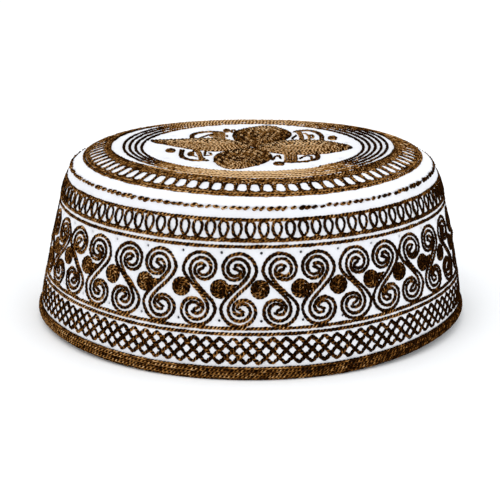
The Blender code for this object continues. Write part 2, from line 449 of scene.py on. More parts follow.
FACE_CORNERS = np.array([(s.radius, s.height) for s in CLOTH_FACE])
FACE_RUNS = np.concatenate(([0.0], np.cumsum(np.hypot(*np.diff(FACE_CORNERS, axis=0).T))))
SEAM_STATION = [s.name for s in CLOTH_FACE].index("seam")
SEAM_RUN = FACE_RUNS[SEAM_STATION]
CROWN_RUNS = np.linspace(FACE_RUNS[-1], SEAM_RUN, LINE_POINTS)
CROWN_RADII = smooth_through(FACE_RUNS, FACE_CORNERS, CROWN_RUNS)[:, 0]


def dents(table, degrees):
    """The sum of raised cosines, one for each dent, that are zero past its half width."""
    total = np.zeros_like(degrees)
    for dent in table:
        away = np.abs((degrees - dent.angle + 180.0) % 360.0 - 180.0) / dent.half_width
        total += dent.depth * np.where(away < 1.0, np.cos(np.pi / 2.0 * np.minimum(away, 1.0)) ** 2, 0.0)
    return total


def settled(x, y, z):
    """Moves points of the plain turned cap, in millimetres, to where they lie on the soft cap, in metres."""
    degrees = np.degrees(np.arctan2(x, -y))
    lift = dents(RIM_LIFTS, degrees) * np.clip(1.0 - z / LIFT_FADE_HEIGHT, 0.0, 1.0)
    sag = dents(SHOULDER_SAGS, degrees) * smoothstep(*SAG_RADII, np.hypot(x, y)) * smoothstep(*SAG_HEIGHTS, z)
    lean = LEAN * (1.0 - np.exp(-np.maximum(z - LEAN_FOOT, 0.0) / LEAN_HEIGHT))
    return np.stack((x + lean, y, z + lift - sag), axis=-1) * MM


def turned(degrees, section, outward, proud):
    """Points of a surface of revolution: the section's (radius, height) moved out by proud and turned."""
    radius = section[..., 0] + outward[..., 0] * proud
    height = section[..., 1] + outward[..., 1] * proud
    turn = np.radians(degrees)
    return settled(radius * np.sin(turn), -radius * np.cos(turn), height)


def on_face(degrees, run, proud):
    """Points on the cloth's face at a length along it from the lower edge, pushed out along its normal."""
    nudge = 0.05
    ahead = smooth_through(FACE_RUNS, FACE_CORNERS, np.ravel(run + nudge))
    behind = smooth_through(FACE_RUNS, FACE_CORNERS, np.ravel(run - nudge))
    along = unit(ahead - behind)
    outward = np.column_stack((along[:, 1], -along[:, 0])).reshape((*np.shape(run), 2))
    section = smooth_through(FACE_RUNS, FACE_CORNERS, np.ravel(run)).reshape((*np.shape(run), 2))
    return turned(degrees, section, outward, proud)


def on_side(places, proud):
    """Points on the side for places (degrees, millimetres below the seam)."""
    return on_face(places[:, 0], SEAM_RUN - places[:, 1], proud - CLOTH_SUNK)


def on_crown(places, proud):
    """Points on the crown for places (x, y) on the flat pattern."""
    radius = np.hypot(places[:, 0], places[:, 1])
    run = np.interp(radius, CROWN_RADII, CROWN_RUNS)
    return on_face(np.degrees(np.arctan2(places[:, 0], -places[:, 1])), run, proud - CLOTH_SUNK)


def rim_section():
    """The rim's rounded section as a closed superellipse, from its top round the outside, and its normals.

    Each half axis is scaled by the cosine or sine of the way round, taken to the power 2 / squareness.
    """
    way = np.linspace(0.0, 2.0 * np.pi, RIM_POINTS + 1)
    wave = np.column_stack((np.sin(way), np.cos(way)))
    points = np.sign(wave) * np.abs(wave) ** (2.0 / RIM_SQUARENESS) * RIM_HALF + RIM_MIDDLE
    along = np.roll(points[:-1], -1, axis=0) - np.roll(points[:-1], 1, axis=0)
    along = unit(np.vstack((along, along[:1])))
    return points, np.column_stack((-along[:, 1], along[:, 0]))


def on_rim(places, proud):
    """Points on the rim for places (degrees, share of the way round its section from the top)."""
    points, outward = rim_section()
    way = way_along(points)
    at = places[:, 1] * way[-1]
    section = np.column_stack([np.interp(at, way, points[:, i]) for i in (0, 1)])
    normal = np.column_stack([np.interp(at, way, outward[:, i]) for i in (0, 1)])
    return turned(places[:, 0], section, normal, proud)


class Stitching:
    """Rows of chain stitch that are gathered into one mesh.

    A row is a closed strip swept along a line: five points round its section and four sections to a stitch. A
    stitch starts narrow and high where it comes out of the one before, then opens into two strands with a
    hollow between them. One strand runs ahead of the other, so a row looks slightly twisted.
    """

    # Across a row, in half widths, and how far each strand runs ahead, in stitches
    ACROSS = np.array([-1.0, -0.64, 0.0, 0.64, 1.0])
    AHEAD = np.array([-0.32, -0.20, 0.0, 0.20, 0.32])
    SIDES = len(ACROSS)

    # Along a stitch, as shares of its full width and height
    WIDTH = np.array([0.80, 0.96, 1.0, 0.93])
    SHOULDER = np.array([0.66, 0.96, 1.0, 0.88])
    MIDDLE = np.array([0.98, 0.62, 0.42, 0.62])
    PARTS = len(WIDTH)

    # How deep a strip's foot is in the cloth and how low it may come, in mm, and how small its ends are
    FOOT = 0.14
    LOWEST = 0.03
    END_TAPER = 0.6

    # How unlike each other stitches are: lengths, widths and heights as shares, and steps aside in mm
    LENGTH_SPREAD = 0.10
    LENGTH_LIMITS = (0.7, 1.3)
    WIDTH_SPREAD = 0.06
    HEIGHT_SPREAD = 0.10
    ASIDE_SPREAD = 0.04

    # The thread's tone: its middle, its slow change over a dozen stitches, and its change at each stitch
    TONE = 0.5
    END_TONE = 0.4
    SLOW_TONE = 0.06
    SLOW_STITCHES = 12
    QUICK_TONE = 0.11

    # How level thread is that keeps its row's tone, on the crown and the side. Then the painted shade that
    # darkens the side towards the right, which grows as well, and the painted light that lightens the crown
    # towards the back
    FLAT_EVEN = 0.5
    SIDE_EVEN = 0.9
    SIDE_SHADE = 0.135
    SIDE_SHADE_GROWTH = 0.8
    BACK_LIGHT = 0.10

    def __init__(self, name, sizes, flat=False, level_light=0.28, patchy=0.0):
        self.name = name
        self.flat = flat
        self.level_light = level_light
        self.patchy = patchy
        self.width = sizes.thread_width / MM / 2.0
        self.height = sizes.thread_height / MM
        self.length = sizes.stitch_length / MM
        self.chance = np.random.default_rng(SEEDS[name])
        self.points, self.quads, self.ends = [], [], []
        self.marks, self.tones = [], []
        self.count = 0

    def row(self, surface, line, sewn=Sewn(), closed=False):
        """Sews one row along a line of places on a surface. Each stitch is slightly unlike the one before.

        A place has two coordinates on the surface, and may have the lift in millimetres and an added tone.
        """
        line = np.asarray(line, float)
        line = np.column_stack((line, np.zeros((len(line), 4 - line.shape[1]))))
        way = way_along(surface(line[:, :2], 0.0)) / MM
        at = self.section_ways(way[-1], closed)
        places = np.column_stack([np.interp(at, way, line[:, i]) for i in range(4)])
        stitches = len(at) // self.PARTS
        spread = self.chance.normal(size=(stitches + 1, 4))
        base = surface(places[:, :2], 0.0)
        normal = unit(surface(places[:, :2], 1.0) - base)
        if closed:
            along = unit(np.roll(base, -1, axis=0) - np.roll(base, 1, axis=0))
        else:
            along = unit(np.gradient(base, axis=0))
        self.points.append(self.strip_points(base, normal, along, places[:, 2], spread, sewn, closed))
        self.quads.append(self.strip_faces(len(at), closed))
        self.marks.append(self.strip_marks(self.PARTS * stitches))
        tones = self.stitch_tones(base, along, places, spread, sewn)
        self.tones.append(np.repeat(tones, self.PARTS * self.SIDES))
        if not closed:
            self.ends.append(self.count + np.arange(self.SIDES))
            self.ends.append(self.count + self.SIDES * len(at) - 1 - np.arange(self.SIDES))
        self.count += self.SIDES * len(at)

    def section_ways(self, length, closed):
        """How far along a row each section is: four to a stitch, in stitches of slightly unlike lengths."""
        stitches = max(int(round(length / self.length)), 1)
        sections = self.PARTS * stitches + (0 if closed else 1)
        lengths = np.clip(self.chance.normal(1.0, self.LENGTH_SPREAD, stitches), *self.LENGTH_LIMITS)
        ends = np.concatenate(([0.0], np.cumsum(lengths)))
        at = length * np.interp(np.arange(sections) / self.PARTS, np.arange(stitches + 1), ends / ends[-1])
        return (at + length * self.chance.random()) % length if closed else at

    def strip_points(self, base, normal, along, lift, spread, sewn, closed):
        """Five points for each section: the line's point moved across the row, off the cloth and ahead."""
        sections = len(base)
        stitch = np.minimum(np.arange(sections) // self.PARTS, sections // self.PARTS - 1)
        phase = np.arange(sections) % self.PARTS
        width = self.width * sewn.scale * self.WIDTH[phase] * (1.0 + self.WIDTH_SPREAD * spread[stitch, 0])
        height = self.height * sewn.scale * sewn.tall * (1.0 + self.HEIGHT_SPREAD * spread[stitch, 1])
        if not closed:
            width[[0, -1]] *= self.END_TAPER
            height[[0, -1]] *= self.END_TAPER
        foot = np.full(sections, -self.FOOT)
        shoulder, middle = height * self.SHOULDER[phase], height * self.MIDDLE[phase]
        rise = np.stack((foot, shoulder, middle, shoulder, foot), axis=1) + lift[:, None]
        side = width[:, None] * self.ACROSS + self.ASIDE_SPREAD * spread[stitch, 2][:, None]
        ahead = self.length * self.AHEAD
        points = (
            base[:, None, :]
            + MM * side[..., None] * np.cross(normal, along)[:, None, :]
            + MM * rise[..., None] * normal[:, None, :]
            + MM * ahead[None, :, None] * along[:, None, :]
        )
        points[..., 2] = np.maximum(points[..., 2], self.LOWEST * MM)
        return points.reshape(-1, 3)

    def stitch_tones(self, base, along, places, spread, sewn):
        """How light each stitch is: its row's tone, the way it runs, its place, and slow and quick change."""
        stitches = len(base) // self.PARTS
        heads = slice(0, self.PARTS * stitches, self.PARTS)
        knots = np.arange(0, stitches + self.SLOW_STITCHES, self.SLOW_STITCHES)
        slow = np.interp(np.arange(stitches), knots, self.chance.normal(size=len(knots)))
        tones = self.TONE + sewn.tone + self.level(base, along)[heads]
        tones = tones + self.SLOW_TONE * slow + self.QUICK_TONE * spread[:stitches, 3]
        tones += places[heads, 3] + self.patchy * patches(places[heads])
        return np.clip(tones, 0.0, 1.0)

    def level(self, base, along):
        """Light and shade painted on the thread at points for the way it runs: across the crown, or round the
        side.

        Thread that runs level catches the light, so a painted sheen makes it lighter than thread that runs up
        and down. Painted shade darkens the side towards the right, and painted light lightens the crown's
        back.
        """
        if self.flat:
            back = base[:, 1] / (SIDE_MEAN_RADIUS * MM)
            return self.level_light * (along[:, 0] ** 2 - self.FLAT_EVEN) + self.BACK_LIGHT * back
        turn = (along[:, 1] * base[:, 0] - along[:, 0] * base[:, 1]) ** 2 / (base[:, :2] ** 2).sum(axis=1)
        aside = base[:, 0] / (SIDE_MEAN_RADIUS * MM)
        shade = self.SIDE_SHADE * aside * (1.0 + self.SIDE_SHADE_GROWTH * aside)
        return self.level_light * (turn - self.SIDE_EVEN) - shade

    def strip_faces(self, sections, closed):
        """The four corners of each face of a strip, between one section and the next."""
        here = self.count + self.SIDES * np.arange(sections)[:, None] + np.arange(self.SIDES)
        after = np.roll(here, -1, axis=0) if closed else here[1:]
        here = here if closed else here[:-1]
        right, right_after = np.roll(here, -1, axis=1), np.roll(after, -1, axis=1)
        return np.stack((here, after, right_after, right), axis=-1).reshape(-1, 4)

    def strip_marks(self, strips):
        """The marks (u, v) of a strip's faces: u counts stitches, v goes over the row from edge to edge."""
        steps = np.arange(strips)[:, None] / self.PARTS
        edge = np.arange(self.SIDES) / (self.SIDES - 1.0)
        edge_after = np.append(edge[1:], 1.0)
        low = np.stack((steps + 0.0 * edge, edge + 0.0 * steps), axis=-1)
        low_right = np.stack((steps + 0.0 * edge, edge_after + 0.0 * steps), axis=-1)
        onward = np.array([1.0 / self.PARTS, 0.0])
        return np.stack((low, low + onward, low_right + onward, low_right), axis=2).reshape(-1, 2)

    def piece(self, material):
        """Makes the mesh of all rows so far."""
        faces = [np.concatenate(self.quads)]
        marks = [np.concatenate(self.marks)]
        tones = [np.concatenate(self.tones)]
        if self.ends:
            faces.append(np.array(self.ends))
            marks.append(np.full((self.SIDES * len(self.ends), 2), 0.5))
            tones.append(np.full(len(self.ends), self.END_TONE))
        made = mesh_piece(self.name, np.concatenate(self.points), faces, material, np.concatenate(marks))
        # The tone holds the thread's own tone and also the light and shade that level() paints on it
        tone = made.data.attributes.new("thread_tone", "FLOAT", "FACE")
        tone.data.foreach_set("value", np.concatenate(tones).astype(np.float32))
        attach(made, BODY)


def mesh_piece(name, points, faces, material, marks):
    """Puts arrays of points, of faces by their number of corners, and of a mark (u, v) a corner in a mesh."""
    mesh = bpy.data.meshes.new(name)
    corners = np.concatenate([f.ravel() for f in faces]).astype(np.int32)
    sizes = np.concatenate([np.full(len(f), f.shape[1]) for f in faces]).astype(np.int32)
    mesh.vertices.add(len(points))
    mesh.vertices.foreach_set("co", points.astype(np.float32).ravel())
    mesh.loops.add(len(corners))
    mesh.loops.foreach_set("vertex_index", corners)
    mesh.polygons.add(len(sizes))
    mesh.polygons.foreach_set("loop_start", np.concatenate(([0], np.cumsum(sizes)[:-1])).astype(np.int32))
    mesh.update(calc_edges=True)
    layer = mesh.uv_layers.new(name="UVMap")
    layer.uv.foreach_set("vector", marks.astype(np.float32).ravel())
    if mesh.validate():
        raise ValueError(f"{name} has faces that a mesh can't hold")
    mesh.shade_smooth()
    mesh.materials.append(material)
    piece = bpy.data.objects.new(name, mesh)
    bpy.context.scene.collection.objects.link(piece)
    return piece


def patches(places):
    """Light and dark patches in a field of thread: a sum of waves, short across and longer front to back."""
    chance = np.random.default_rng(SEEDS["patches"])
    total = np.zeros(len(places))
    for _ in range(PATCH_WAVES):
        across, back = chance.uniform(*PATCH_ACROSS), chance.uniform(*PATCH_BACK)
        total += np.sin(across * places[:, 0] + back * places[:, 1] + chance.uniform(*ANY_PHASE))
    return total / PATCH_WAVES ** 0.5


def ripples(degrees, run, size, seed):
    """Soft unevenness of the cloth: a sum of sine waves of 5 to 22 mm in all directions."""
    chance = np.random.default_rng(seed)
    total = np.zeros(np.broadcast(degrees, run).shape)
    for _ in range(RIPPLE_WAVES):
        turns = chance.integers(*RIPPLE_TURNS)
        wave = 2.0 * np.pi / chance.uniform(*RIPPLE_LENGTHS)
        way = chance.choice((-1.0, 1.0))
        total += np.sin(turns * np.radians(degrees) + wave * run * way + chance.uniform(*ANY_PHASE))
    return size * total / RIPPLE_WAVES ** 0.5


def rows_between(keys, step):
    """Values from the first key to the last, about a step apart, that meet every key."""
    parts = [
        np.linspace(a, b, max(int(round(abs(b - a) / step)), 2), endpoint=False)
        for a, b in zip(keys[:-1], keys[1:], strict=True)
    ]
    return np.concatenate((*parts, keys[-1:]))


def cut_eyelets(degrees, along, runs, holes):
    """Moves the eight points round each hole onto a circle. Gives these rings and the cells inside them."""
    columns = degrees.shape[1]
    way = np.arange(len(AROUND)) * np.pi / 4.0
    gone = np.zeros(degrees.shape, bool)
    rings = []
    for row, column in holes:
        at = (row + AROUND[:, 0], (column + AROUND[:, 1]) % columns)
        radius = np.interp(runs[row], FACE_RUNS, FACE_CORNERS[:, 0])
        degrees[at] = degrees[row, column] + np.degrees(EYELET_RADIUS * np.cos(way) / radius)
        along[at] = runs[row] + EYELET_RADIUS * np.sin(way)
        rings.append(at[0] * columns + at[1])
        gone[row - 1:row + 1, [(column - 1) % columns, column]] = True
    return rings, gone


def cloth_shell(name, columns, runs, holes, sizes, pole, material):
    """A wall of cloth on a grid of columns round the cap and rows up along its face, closed at its edges.

    The outer face lies on the cloth's face, rippled, and the inner one a thickness inside it. At a hole the
    four cells round a grid point are left out and the eight points round it move onto a circle, on both
    faces, and a ring of faces joins the two. With a pole, the last row is drawn together to one point on each
    face.
    """
    rows = len(runs)
    thickness = sizes.cloth_thickness / MM
    degrees = EYELET_ANGLE + 360.0 * np.arange(columns)[None, :] / columns + np.zeros((rows, 1))
    along = runs[:, None] + np.zeros((1, columns))
    rings, gone = cut_eyelets(degrees, along, runs, holes)
    wave = ripples(degrees, along, sizes.cloth_ripple / MM, SEEDS[name])
    wave *= smoothstep(0.0, RIPPLE_FADE, np.abs(FACE_RUNS[-1] - along))
    outer = on_face(degrees, along, wave - CLOTH_SUNK).reshape(-1, 3)
    inner = on_face(degrees, along, INNER_RIPPLE * wave - CLOTH_SUNK - thickness).reshape(-1, 3)
    below = len(outer)
    points = [outer, inner]

    number = np.arange(below).reshape(rows, columns)
    beside = np.roll(number, -1, axis=1)
    last = rows - 2 if pole else rows - 1
    cells = np.stack((number[:-1], beside[:-1], beside[1:], number[1:]), axis=-1)[:last]
    cells = cells[~gone[:last]]
    quads = [cells, cells[:, ::-1] + below]
    quads.append(np.stack((beside[0], number[0], number[0] + below, beside[0] + below), axis=-1))
    triangles = []
    if pole:
        depths = np.array((0.0, thickness)) + CLOTH_SUNK
        points.append(on_face(np.zeros(2), np.full(2, runs[-1]), -depths))
        tips = np.array((2 * below, 2 * below + 1))[:, None] + np.zeros(columns, int)
        triangles.append(np.stack((number[-2], beside[-2], tips[0]), axis=-1))
        triangles.append(np.stack((beside[-2] + below, number[-2] + below, tips[1]), axis=-1))
    else:
        quads.append(np.stack((number[-1], beside[-1], beside[-1] + below, number[-1] + below), axis=-1))
    for ring in rings:
        onward = np.roll(ring, -1)
        quads.append(np.stack((ring, onward, onward + below, ring + below), axis=-1))
    faces = [np.concatenate(quads)] + ([np.concatenate(triangles)] if pole else [])

    ends = [0.0] * (2 if pole else 0)
    all_degrees = np.concatenate((degrees.ravel(), degrees.ravel(), ends))
    all_along = np.concatenate((along.ravel(), along.ravel(), np.add(ends, runs[-1])))
    marks = np.concatenate([weave_marks(all_degrees[f], all_along[f], pole).reshape(-1, 2) for f in faces])
    used, packed = np.unique(np.concatenate([f.ravel() for f in faces]), return_inverse=True)
    parts = np.split(packed, np.cumsum([f.size for f in faces])[:-1])
    faces = [part.reshape(f.shape) for part, f in zip(parts, faces, strict=True)]
    return mesh_piece(name, np.concatenate(points)[used], faces, material, marks)


def weave_marks(degrees, along, flat):
    """Where face corners lie on the woven cloth, as (u, v) in metres.

    The crown's cloth lies flat, so a corner keeps its x and y. The side's goes round: u is the arc on a
    circle of the side's mean radius, counted on from each face's first corner, and v is the length up the
    face.
    """
    if flat:
        radius = smooth_through(FACE_RUNS, FACE_CORNERS, along.ravel())[:, 0].reshape(along.shape)
        turn = np.radians(degrees)
        return np.stack((radius * np.sin(turn), -radius * np.cos(turn)), axis=-1) * MM
    first = degrees[:, :1]
    turn = np.radians(first + (degrees - first + 180.0) % 360.0 - 180.0)
    return np.stack((SIDE_MEAN_RADIUS * turn, along), axis=-1) * MM


def rim_core(material):
    """The rim's body under its thread: the rounded section turned round the cap."""
    degrees = 360.0 * np.arange(RIM_COLUMNS)[:, None] / RIM_COLUMNS + np.zeros((1, RIM_CORNERS))
    share = np.arange(RIM_CORNERS)[None, :] / RIM_CORNERS + np.zeros((RIM_COLUMNS, 1))
    points = on_rim(np.column_stack((degrees.ravel(), share.ravel())), 0.0)
    number = np.arange(RIM_COLUMNS * RIM_CORNERS).reshape(RIM_COLUMNS, RIM_CORNERS)
    beside = np.roll(number, -1, axis=0)
    under, beside_under = np.roll(number, -1, axis=1), np.roll(beside, -1, axis=1)
    quads = np.stack((number, under, beside_under, beside), axis=-1).reshape(-1, 4)
    marks = np.stack((degrees, RIM_GIRTH * share), axis=-1).reshape(-1, 2)[quads.ravel()] * MM
    return mesh_piece("rim_core", points, [quads], material, marks)


def ring_line(at):
    """A ring right round the cap, as places (degrees, at)."""
    return np.column_stack((np.linspace(0.0, 360.0, RING_POINTS), np.full(RING_POINTS, at)))


def drawn_in(line):
    """Places (degrees, radius, ...) of the crown's border, moved inward at both sides.

    The move is the most for the middle radius, none past the outer two, and follows the square of the sine.
    """
    moved = line.copy()
    share = np.interp(line[:, 1], BORDER_DRAWN_RADII, (0.0, 1.0, 0.0))
    moved[:, 1] -= BORDER_DRAWN * share * np.sin(np.radians(line[:, 0])) ** 2
    return moved


def loop_line(loops, per_mm):
    """A long line of loops that cross below, as a pen writes them. One millimetre is per_mm degrees.

    The angle is a steady advance less three sines, whose swing is larger than the advance, so the line turns
    back at the top of each loop. The drop is a cosine about the loops' middle. A sine lifts one strand over
    the other.
    """
    way = np.linspace(0.0, 2.0 * np.pi * loops.count, loops.count * LOOP_POINTS + 1)
    swing = loops.swing * np.sin(way)
    swing = swing + loops.second_swing * np.sin(2.0 * way) + loops.third_swing * np.sin(3.0 * way)
    degrees = loops.start + 360.0 / loops.count * way / (2.0 * np.pi) - swing * per_mm
    drop = loops.middle - loops.half_height * np.cos(way)
    return np.column_stack((degrees, drop, LOOP_LIFT + LOOP_LIFT * np.sin(way)))


def onto_crown(line):
    """Turns places (degrees, radius, ...) into places (x, y, ...) on the crown's flat pattern."""
    turn = np.radians(line[:, 0])
    return np.column_stack((line[:, 1] * np.sin(turn), -line[:, 1] * np.cos(turn), line[:, 2:]))


def winding_line():
    """The crown's long line: it keeps its radius behind, and moves out a step whenever it is in front."""
    degrees = np.linspace(*LINES_ANGLES, WINDING_POINTS)
    turns, share = np.divmod((degrees - 90.0) / 360.0, 1.0)
    steps = turns + np.maximum(2.0 * share - 1.0, 0.0)
    return np.column_stack((degrees, LINES_RADIUS + LINES_STEP * steps))


def arc_line(arc):
    """A short line on the crown that keeps its radius in the middle and flares outwards at both ends."""
    degrees = np.linspace(arc.start, arc.end, LINE_POINTS)
    away = np.abs(np.linspace(-1.0, 1.0, LINE_POINTS))
    return np.column_stack((degrees, arc.radius + arc.flare * smoothstep(ARC_FLARE_FROM, 1.0, away)))


def spiral_row(row, turns):
    """One row of a spiral, from its left inwards and clockwise. Its radius is smooth through the quarters."""
    table = np.array(SPIRAL)
    at = np.linspace(0.0, turns, SPIRAL_POINTS)
    radius = smooth_through(table[:, 0], table[:, row], at)
    way = at * np.pi / 2.0
    return -np.column_stack((radius * np.cos(way), radius * np.sin(way))) * SPIRAL_UNIT


def sway(start, end, squeeze):
    """A cubic between two points that leaves and arrives straight down, moved aside most at its middle."""
    t = np.linspace(0.0, 1.0, SLANT_POINTS)[1:-1, None]
    slope = np.array((0.0, SCROLL_SWAY))
    line = (1.0 + 2.0 * t) * (1.0 - t) ** 2 * start + t * (1.0 - t) ** 2 * slope
    line += t * t * (3.0 - 2.0 * t) * end + t * t * (t - 1.0) * slope
    return line + np.sin(np.pi * t) ** 2 * (squeeze, 0.0)


def nudge_of(number):
    """How the scroll of that number and the ball before it sit off their even places, in degrees."""
    table = {nudge.number % SIDE_EYELETS: nudge for nudge in NUDGES}
    return table.get(number, Nudge(number, 0.0, 0.0, 0.0))


def scroll_lines(number):
    """The two lines of a scroll: out of one spiral, down the slant and into the other, and its half turn."""
    top = np.array((SPIRAL_OFF[0], -SPIRAL_OFF[1]))
    outer = spiral_row(1, SPIRAL[-1].turn)[::-1] + top
    inner = np.vstack((outer[:1], spiral_row(2, INNER_TURNS)[::-1] + top))
    line = np.vstack((outer, sway(outer[-1], -inner[-1], SLANT_SQUEEZE[number % 2]), -inner[::-1]))
    middle = (EYELET_ANGLE + 360.0 * (number + 0.5) / SIDE_EYELETS, SCROLL_MIDDLE)
    mirror = (1.0, 1.0) if number % 2 == 0 else (-1.0, 1.0)
    nudge = nudge_of(number)
    lines = []
    for way in (mirror, np.negative(mirror)):
        places = line * way
        lower = smoothstep(-SPIRAL_OFF[1], SPIRAL_OFF[1], places[:, 1])
        places[:, 0] += nudge.top + (nudge.bottom - nudge.top) * lower
        lines.append(places + middle)
    return lines


def ball_line(degrees, per_mm):
    """A round ball filled by one row that goes round once and then winds inwards, padded like a dome."""
    turns = np.linspace(0.0, BALL_RADIUS / ROW_PITCH + BALL_LAST_TURN, BALL_POINTS)
    radius = BALL_RADIUS - ROW_PITCH * np.maximum(turns - 1.0, 0.0)
    way = 2.0 * np.pi * turns + degrees
    pad = BALL_PAD * (1.0 - (radius / BALL_RADIUS) ** 2)
    across = degrees + per_mm * radius * np.sin(way)
    return np.column_stack((across, BALL_MIDDLE - radius * np.cos(way), pad))


def lattice_line(first):
    """A zigzag that crosses the lattice and turns back at its edges, in two rounds of the cap.

    The drop is a triangle wave with rounded tips: the arc sine of a cosine that stays just under one.
    """
    way = np.linspace(0.0, np.pi * LATTICE_HOLES, LATTICE_HOLES * LATTICE_POINTS + 1)
    degrees = LATTICE_ANGLE + 360.0 / LATTICE_HOLES * (first + 2.0 * way / np.pi)
    wave = np.arcsin(LATTICE_TIPS * np.cos(way)) / (np.pi / 2.0)
    middle, half = np.mean(LATTICE_DROPS), (LATTICE_DROPS[1] - LATTICE_DROPS[0]) / 2.0
    return np.column_stack((degrees, middle - half * wave, LATTICE_LIFT + LATTICE_LIFT * np.sin(2.0 * way)))


def petal_lines(petal):
    """Rows that fill a petal, each one a pitch inside the one before.

    On a side whose half width changes with the length, a step square to the edge takes the half width down by
    the step times the root of one plus its slope squared. The rows rise towards the middle, over the padding.
    """
    turn = np.radians(petal.angle)
    ahead, across = np.array((np.sin(turn), -np.cos(turn))), np.array((np.cos(turn), np.sin(turn)))
    outline = np.array(PETAL_OUTLINE)
    along = np.linspace(outline[0, 0], outline[-1, 0], LINE_POINTS)
    half = smooth_through(outline[:, 0], outline[:, 1] * petal.plump, along)
    half *= 1.0 - (1.0 - petal.tip) * smoothstep(*PETAL_TAPER, along)
    bent = petal.bend * np.sin(np.pi * along / outline[-1, 0])[:, None] * across + MEDALLION_PLACE
    steep = np.hypot(1.0, np.gradient(half, along))
    stretch = petal.length / outline[-1, 0]
    tones = petal.tip_tone * smoothstep(*PETAL_TIP, along / outline[-1, 0])
    lines = []
    for inset in np.arange(PETAL_PITCH / 2.0, half.max(), PETAL_PITCH):
        width = half - inset * steep
        inside = np.flatnonzero(width > ROW_NARROWEST)
        if len(inside) < FEWEST_POINTS:
            break
        spine = np.flatnonzero(width > SPINE_NARROWEST)
        inside = np.arange(inside[0], inside[-1] + 1)
        width = np.maximum(width[inside], ROW_NARROWEST)
        length = along[inside] * stretch
        one = length[:, None] * ahead + width[:, None] * across + bent[inside]
        other = length[:, None] * ahead - width[:, None] * across + bent[inside]
        line = np.vstack((one, other[::-1], one[:1]))
        deep = smoothstep(0.0, PETAL_PAD_WIDTH, inset)
        tone = tones[inside] + petal.edge_tone * (1.0 - deep)
        tone = np.concatenate((tone, tone[::-1], tone[:1]))
        lines.append(np.column_stack((line, np.full(len(line), PETAL_PAD * deep), tone)))
    if len(spine) > FEWEST_POINTS:
        middle = along[spine, None] * stretch * ahead + bent[spine]
        lines.append(np.column_stack((middle, np.full(len(middle), SPINE_LIFT))))
    return lines


def curl_lines(curl):
    """The rows of a curl: a smooth line through its points, moved aside a pitch for each row."""
    line = smooth_line(curl.points) + MEDALLION_PLACE
    along = unit(np.gradient(line, axis=0))
    aside = np.column_stack((along[:, 1], -along[:, 0]))
    return [line + aside * ROW_PITCH * (row - (curl.rows - 1) / 2.0) for row in range(curl.rows)]


def bud_lines(bud):
    """The rows of a small filled bud: ellipses, one inside the other."""
    turn = np.linspace(0.0, 2.0 * np.pi, BUD_POINTS)
    lines = []
    for inset in np.arange(BUD_FIRST_INSET, bud.half_width, ROW_PITCH):
        half = (bud.half_width - inset, bud.half_length - inset)
        oval = np.column_stack((np.cos(turn), np.sin(turn))) * half
        lines.append(oval + (bud.x, bud.y) + MEDALLION_PLACE)
    return lines


def degrees_per_mm(drop):
    """How many degrees one millimetre is, round the side at a drop below the seam."""
    radius = float(smooth_through(FACE_RUNS, FACE_CORNERS, np.array([SEAM_RUN - drop]))[0, 0])
    return float(np.degrees(1.0 / radius))


class Shade:
    """A value in a material's nodes. Arithmetic on it, with numbers or other values, adds Math nodes."""

    def __init__(self, tree, socket=None):
        self.tree = tree
        self.socket = socket

    def node(self, kind, settings=None, inputs=None, output=0):
        """Adds a node: first its settings, a ramp's stops among them, then its inputs' numbers or links."""
        made = self.tree.nodes.new(kind)
        for name, value in (settings or {}).items():
            if name == "stops":
                ramp = made.color_ramp
                while len(ramp.elements) < len(value):
                    ramp.elements.new(0.5)
                for element, (position, shown) in zip(ramp.elements, value, strict=True):
                    element.position = position
                    element.color = shown
            else:
                setattr(made, name, value)
        for name, value in (inputs or {}).items():
            if isinstance(value, Shade):
                self.tree.links.new(value.socket, made.inputs[name])
            else:
                made.inputs[name].default_value = value
        return Shade(self.tree, made.outputs[output])

    def out(self, name):
        """Another output of the node that this value comes from."""
        return Shade(self.tree, self.socket.node.outputs[name])

    def noise(self, place, kind):
        """Noise of a kind at a place."""
        inputs = {"Vector": place, "Scale": kind.scale, "Detail": kind.detail}
        return self.node("ShaderNodeTexNoise", None, inputs)

    def math(self, operation, *values):
        """A Math node of an operation on values."""
        return self.node("ShaderNodeMath", {"operation": operation}, dict(enumerate(values)))

    def __add__(self, other):
        return self.math("ADD", self, other)

    __radd__ = __add__

    def __sub__(self, other):
        return self.math("SUBTRACT", self, other)

    def __rsub__(self, other):
        return self.math("SUBTRACT", other, self)

    def __mul__(self, other):
        return self.math("MULTIPLY", self, other)

    __rmul__ = __mul__

    def sine(self):
        """Its sine."""
        return self.math("SINE", self)

    def size(self):
        """Its size without its sign."""
        return self.math("ABSOLUTE", self)

    def kept(self, low=0.0):
        """Itself kept between a number and 1."""
        return self.math("MAXIMUM", low, self.math("MINIMUM", 1.0, self))

    def mix(self, first, second):
        """A colour that goes from the first to the second as this value goes from 0 to 1."""
        return self.node("ShaderNodeMix", {"data_type": "RGBA"}, {0: self, 6: first, 7: second}, 2)

    def bump(self, distance, strength=1.0, onto=None):
        """A surface that this value raises by up to a distance in metres."""
        inputs = {"Height": self, "Distance": distance, "Strength": strength}
        if onto is not None:
            inputs["Normal"] = onto
        return self.node("ShaderNodeBump", None, inputs)


def colour(value, factor=1.0):
    """A colour setting as the four numbers of a socket."""
    return (*(min(factor * part, 1.0) for part in value), 1.0)


def new_material(name, settings, links):
    """A material of plain settings by name, and of links that a function works out from its first Shade."""
    made = bpy.data.materials.new(name)
    made.use_nodes = True
    shader = made.node_tree.nodes["Principled BSDF"]
    for socket, value in settings.items():
        shader.inputs[socket].default_value = value
    for socket, value in links(Shade(made.node_tree)).items():
        made.node_tree.links.new(value.socket, shader.inputs[socket])
    return made


